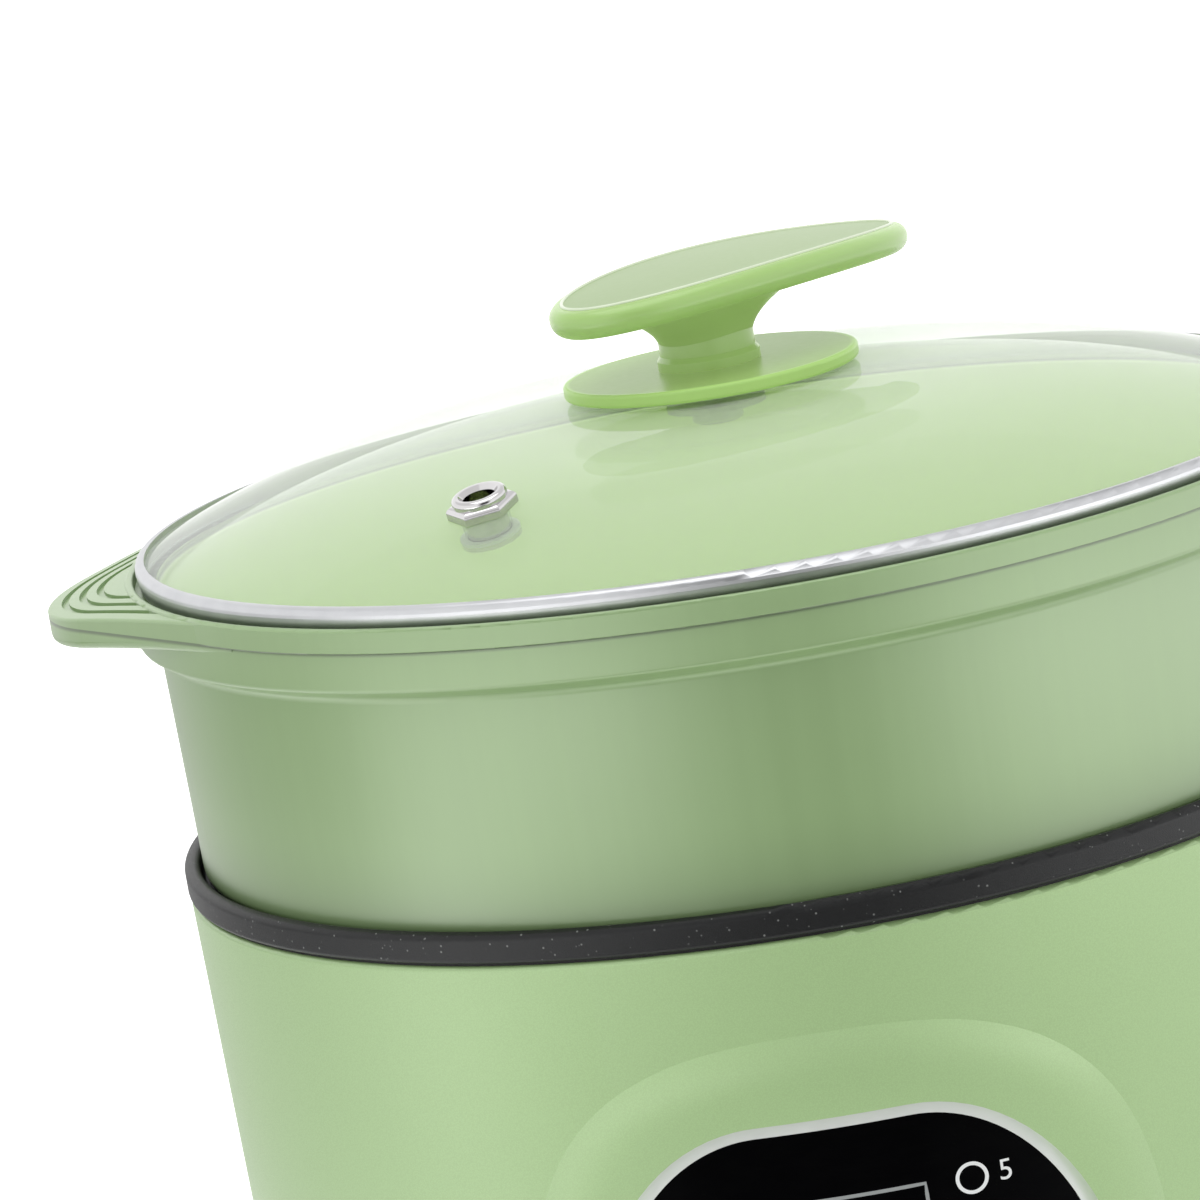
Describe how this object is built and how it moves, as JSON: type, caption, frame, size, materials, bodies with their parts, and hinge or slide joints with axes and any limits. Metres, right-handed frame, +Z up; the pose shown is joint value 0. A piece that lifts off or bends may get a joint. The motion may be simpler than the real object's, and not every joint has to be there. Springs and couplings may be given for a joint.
{
  "type": "electric hot pot",
  "caption": "Electric hot pot: round green heated body with black inner pot and touch panel, stacked steamer tray with side lugs, domed glass lid with a boat-shaped knob and a side handle.",
  "frame": {"origin": "on the pot's axis, at the height of the surface that the rubber feet stand on", "axes": "+Z up along the pot's axis, -Y out of the control panel, +X along the side handle"},
  "size_m": [0.3437, 0.2082, 0.2301],
  "materials": {
    "shell_paint": "satin pearl paint over moulded plastic",
    "base_plastic": "matte",
    "foot_rubber": "matte",
    "seal_silicone": "matte",
    "silicone": "matte, slightly clear",
    "screw_steel": "zinc plated",
    "pot_coating": "black speckled non-stick coating",
    "steel": "mill finish",
    "polished_steel": "polished",
    "heater_aluminium": "cast",
    "sheath_steel": "heat darkened",
    "board": "solder mask",
    "part_black": "moulded",
    "part_blue": "moulded",
    "part_yellow": "taped winding",
    "terminal": "moulded",
    "ceramic_cap": "matt",
    "inlet_plastic": "moulded",
    "pin_brass": "nickel plated",
    "bezel_silver": "silver plating",
    "panel_black": "mirror gloss, smoked",
    "display_grey": "moulded",
    "light_clear": "clear resin",
    "spring_steel": "bright",
    "handle_plastic": "satin",
    "wire_jacket": "satin",
    "heater_jacket": "braided sleeve",
    "cable_jacket": "satin",
    "tray_plastic": "satin gloss, slightly translucent",
    "lid_glass": "clear tempered",
    "knob_plastic": "satin gloss",
    "insert_plastic": "satin gloss, pale"
  },
  "bodies": {
    "base": {"body_shell": "shell_paint", "base_plate": "base_plastic", "rubber_feet": "foot_rubber", "base_screws": "screw_steel", "rim_seal": "seal_silicone", "inner_pot": "pot_coating", "pot_studs": "steel", "heater_plate": "heater_aluminium", "heating_element": "sheath_steel", "spacer_sleeves": "steel", "heat_shield": "steel", "shield_nuts": "screw_steel", "temperature_sensor": "polished_steel", "sensor_bracket": "steel", "thermostat": "ceramic_cap", "thermal_fuse": "polished_steel", "power_board": "board", "board_screws": "screw_steel", "relay": "part_blue", "transformer": "part_yellow", "capacitor": "part_black", "terminal_block": "terminal", "power_inlet": "inlet_plastic", "inlet_pins": "pin_brass", "inlet_screws": "screw_steel", "panel_bezel": "bezel_silver", "panel_glass": "panel_black", "display_board": "board", "display_module": "display_grey", "indicator_leds": "light_clear", "touch_springs": "spring_steel", "display_screws": "screw_steel", "handle_upper": "handle_plastic", "handle_lower": "handle_plastic", "handle_screws": "screw_steel", "grip_screws": "screw_steel", "mains_wires": "wire_jacket", "heater_wires": "heater_jacket", "display_cable": "cable_jacket"},
    "tray": {"steamer_tray": "tray_plastic"},
    "lid": {"lid_glass": "lid_glass", "lid_ring": "polished_steel", "vent_eyelet": "polished_steel", "vent_washer": "silicone", "knob_gasket": "silicone", "knob_base": "knob_plastic", "knob_body": "knob_plastic", "knob_insert": "insert_plastic", "knob_washer": "steel", "knob_screw": "screw_steel"}
  },
  "joints": [
    {"name": "tray_lift", "type": "slide", "parent": "base", "child": "tray", "axis": [0, 0, 1], "range_m": [0, 0.08]},
    {"name": "lid_lift", "type": "slide", "parent": "tray", "child": "lid", "axis": [0, 0, 1], "range_m": [0, 0.06]}
  ]
}
